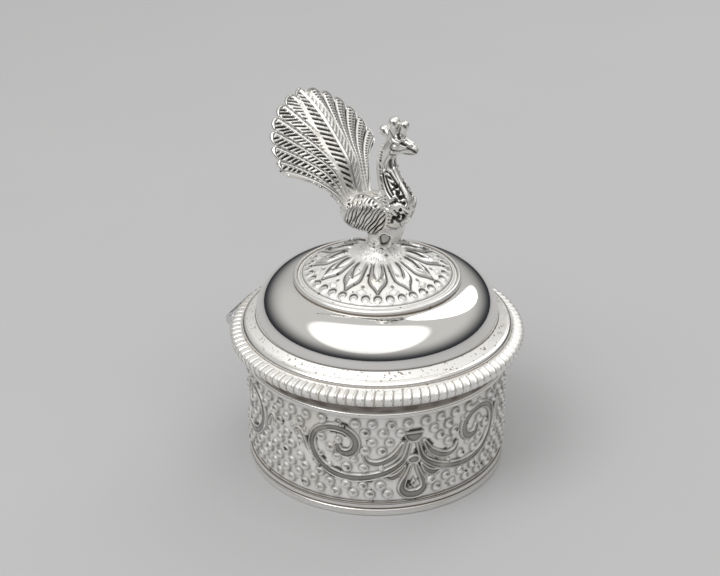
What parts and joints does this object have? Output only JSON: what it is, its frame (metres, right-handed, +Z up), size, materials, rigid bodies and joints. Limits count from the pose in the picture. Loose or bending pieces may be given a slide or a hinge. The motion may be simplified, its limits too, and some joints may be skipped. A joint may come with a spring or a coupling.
{
  "type": "kumkum box",
  "caption": "Round silver kumkum box with an embossed wall, a hinged domed lid with a reeded rim and a rosette, and a peacock finial with a raised tail.",
  "frame": {"origin": "centre of the flat underside, on the box's axis", "axes": "+Z up the box's axis, -Y to the front, +Y to the hinge, and X along the hinge's pin"},
  "size_m": [0.052, 0.0544, 0.065],
  "materials": {
    "mirror_silver": "polished",
    "polished_silver": "gloss",
    "frosted_silver": "matte",
    "cast_silver": "satin",
    "hinge_metal": "satin"
  },
  "bodies": {
    "box": {"base_disc": "polished_silver", "foot_ring": "polished_silver", "body_wall": "frosted_silver", "ridge_ring": "polished_silver", "collar_band": "polished_silver", "inner_bezel": "polished_silver", "body_hinge_leaf": "hinge_metal", "hinge_pin": "hinge_metal"},
    "lid": {"lid_seat_ring": "polished_silver", "reeded_rim": "polished_silver", "lid_flange": "frosted_silver", "lid_dome": "mirror_silver", "rosette_plate": "frosted_silver", "rosette_border": "polished_silver", "lid_hinge_leaf": "hinge_metal", "peacock_body": "cast_silver", "peacock_tail": "cast_silver", "finial_washer": "hinge_metal", "finial_nut": "hinge_metal"}
  },
  "joints": [
    {"name": "lid_hinge", "type": "hinge", "parent": "box", "child": "lid", "pos_m": [0, 0.027, 0.0219], "axis": [-1, 0, 0], "range_deg": [0, 95]}
  ]
}
